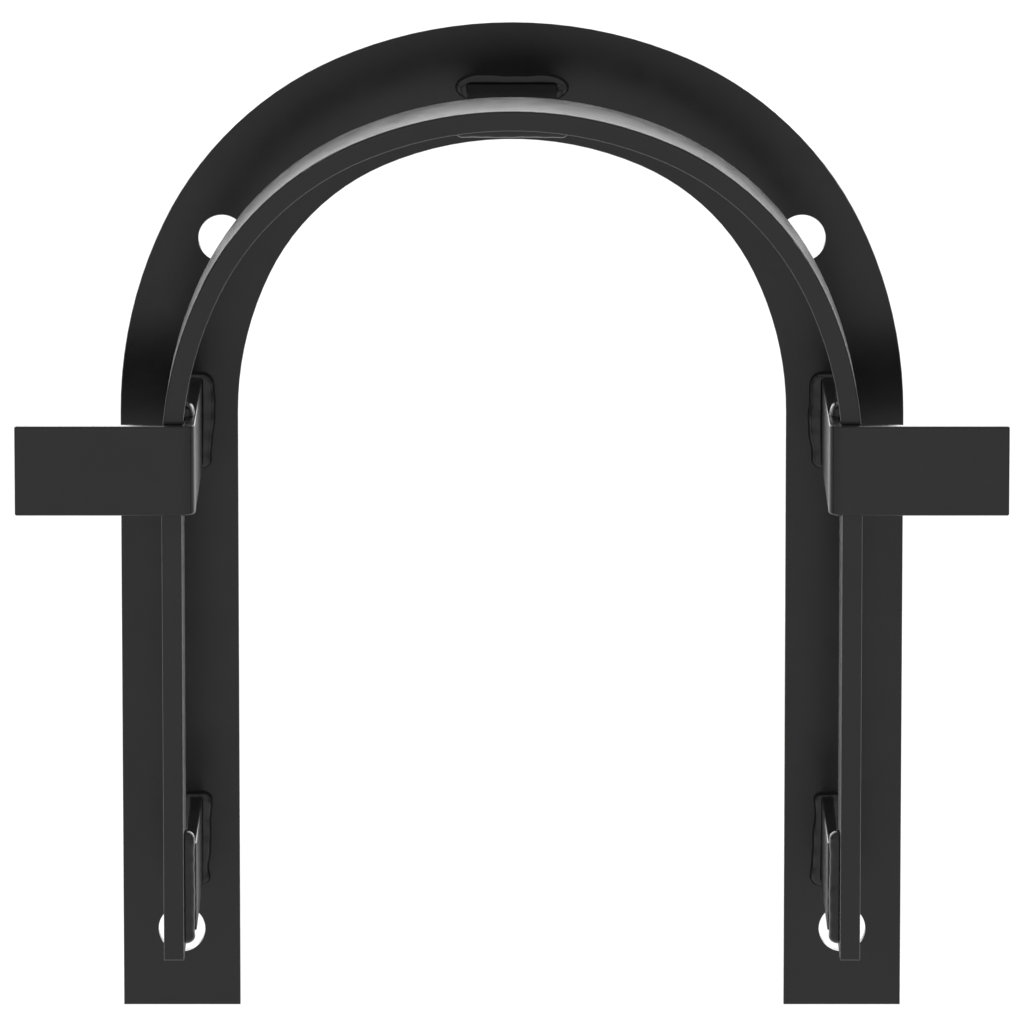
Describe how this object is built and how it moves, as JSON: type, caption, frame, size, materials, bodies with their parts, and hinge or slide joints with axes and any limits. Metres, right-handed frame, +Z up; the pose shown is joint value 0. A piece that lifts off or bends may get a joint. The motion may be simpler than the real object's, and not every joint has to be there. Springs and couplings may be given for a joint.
{
  "type": "garden hose wall hanger",
  "caption": "Wall hanger for a garden hose or cable: an arch-shaped steel back plate, a welded hoop of flat bar in front of it and arms that keep the coil on the hoop.",
  "frame": {"origin": "on the wall, at the back face of the plate, midway between the two upper screw holes", "axes": "+Z up, the hanger stands out from the wall along -Y, +X to the right as seen from the front; left and right are as seen from the front"},
  "size_m": [0.248, 0.0765, 0.2555],
  "materials": {
    "plate_powder_coat": "satin black powder coat on laser-cut sheet steel, fine orange peel",
    "bar_powder_coat": "satin black powder coat on flat bar with slightly rounded edges",
    "weld_bead_powder_coat": "satin black powder coat over rippled weld beads"
  },
  "bodies": {
    "root": {"arch_band": "bar_powder_coat", "back_plate": "plate_powder_coat", "band_weld_arm_lower_left": "weld_bead_powder_coat", "band_weld_arm_lower_right": "weld_bead_powder_coat", "band_weld_arm_upper_left": "weld_bead_powder_coat", "band_weld_arm_upper_right": "weld_bead_powder_coat", "band_weld_lower_left": "weld_bead_powder_coat", "band_weld_lower_right": "weld_bead_powder_coat", "band_weld_top": "weld_bead_powder_coat", "hook_arm_left": "bar_powder_coat", "hook_arm_right": "bar_powder_coat", "lower_bracket_left": "bar_powder_coat", "lower_bracket_right": "bar_powder_coat", "root_weld_arm_left": "weld_bead_powder_coat", "root_weld_arm_right": "weld_bead_powder_coat", "root_weld_lower_left": "weld_bead_powder_coat", "root_weld_lower_right": "weld_bead_powder_coat", "root_weld_top": "weld_bead_powder_coat", "top_bracket": "bar_powder_coat"}
  },
  "joints": []
}
